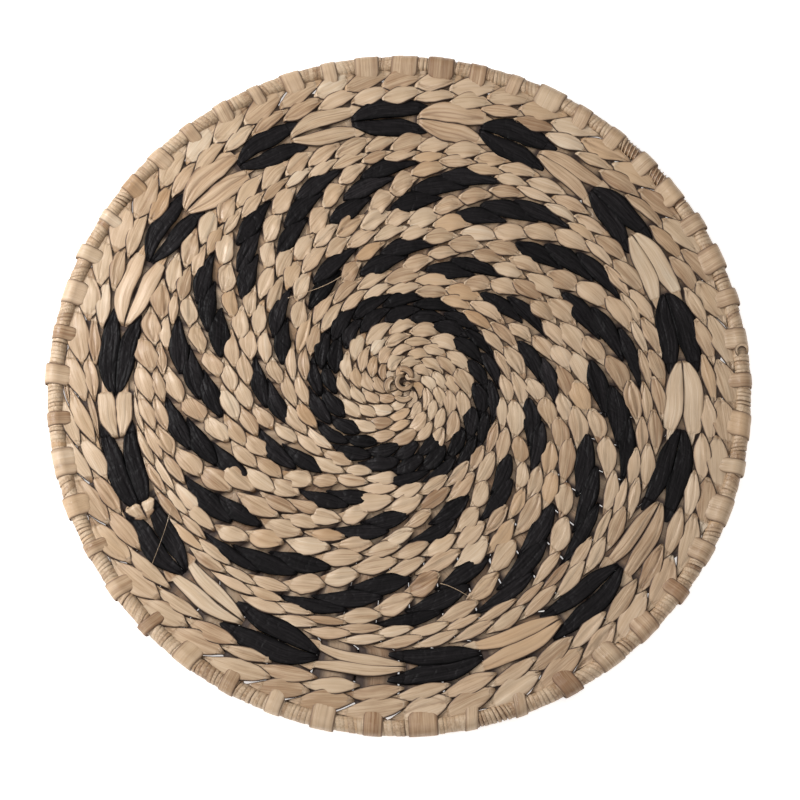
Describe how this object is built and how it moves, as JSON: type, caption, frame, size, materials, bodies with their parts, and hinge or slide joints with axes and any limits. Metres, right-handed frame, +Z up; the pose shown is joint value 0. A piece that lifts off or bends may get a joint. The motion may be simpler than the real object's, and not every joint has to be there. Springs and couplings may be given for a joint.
{
  "type": "chair seat pad",
  "caption": "Round flat seat pad for a chair, twined in a spiral from natural and black dried strips over radial spokes, with rings of checks and arrow heads and a tabbed rim.",
  "frame": {"origin": "under the centre of the pad, on the plane that it rests on", "axes": "+Z up, out of the face that is sat on; X and Y lie in the plane of the pad, with -Y nearest in the picture's view"},
  "size_m": [0.38, 0.38, 0.0094],
  "materials": {
    "natural_strand": "dried plant strip, satin, with fine fibres along it",
    "black_strand": "dried plant strip dyed black, wrinkled, slightly glossy",
    "spoke_strip": "dried plant strip, satin",
    "core_cord": "bundle of brown dried strips",
    "binding_strip": "thin dried plant strip, wound slantwise"
  },
  "bodies": {
    "root": {"added_spoke_01": "spoke_strip", "added_spoke_02": "spoke_strip", "added_spoke_03": "spoke_strip", "added_spoke_04": "spoke_strip", "added_spoke_05": "spoke_strip", "added_spoke_06": "spoke_strip", "added_spoke_07": "spoke_strip", "added_spoke_08": "spoke_strip", "added_spoke_09": "spoke_strip", "added_spoke_10": "spoke_strip", "added_spoke_11": "spoke_strip", "added_spoke_12": "spoke_strip", "added_spoke_13": "spoke_strip", "added_spoke_14": "spoke_strip", "added_spoke_15": "spoke_strip", "added_spoke_16": "spoke_strip", "black_ring_strand_a": "black_strand", "black_ring_strand_b": "black_strand", "border_strand_a": "natural_strand", "border_strand_b": "natural_strand", "centre_knot": "natural_strand", "centre_strand_a": "natural_strand", "centre_strand_b": "natural_strand", "chevron_inner_black_strand": "black_strand", "chevron_inner_natural_strand": "natural_strand", "chevron_outer_black_strand": "black_strand", "chevron_outer_natural_strand": "natural_strand", "inner_check_black_strand": "black_strand", "inner_check_natural_strand": "natural_strand", "inner_plain_strand_a": "natural_strand", "inner_plain_strand_b": "natural_strand", "main_spoke_01": "spoke_strip", "main_spoke_02": "spoke_strip", "main_spoke_03": "spoke_strip", "main_spoke_04": "spoke_strip", "main_spoke_05": "spoke_strip", "main_spoke_06": "spoke_strip", "main_spoke_07": "spoke_strip", "main_spoke_08": "spoke_strip", "main_spoke_09": "spoke_strip", "main_spoke_10": "spoke_strip", "main_spoke_11": "spoke_strip", "main_spoke_12": "spoke_strip", "main_spoke_13": "spoke_strip", "main_spoke_14": "spoke_strip", "main_spoke_15": "spoke_strip", "main_spoke_16": "spoke_strip", "middle_plain_strand_a": "natural_strand", "middle_plain_strand_b": "natural_strand", "outer_check_black_strand": "black_strand", "outer_check_natural_strand": "natural_strand", "outer_plain_strand_a": "natural_strand", "outer_plain_strand_b": "natural_strand", "rim_binding": "binding_strip", "rim_core_cord": "core_cord"}
  },
  "joints": []
}
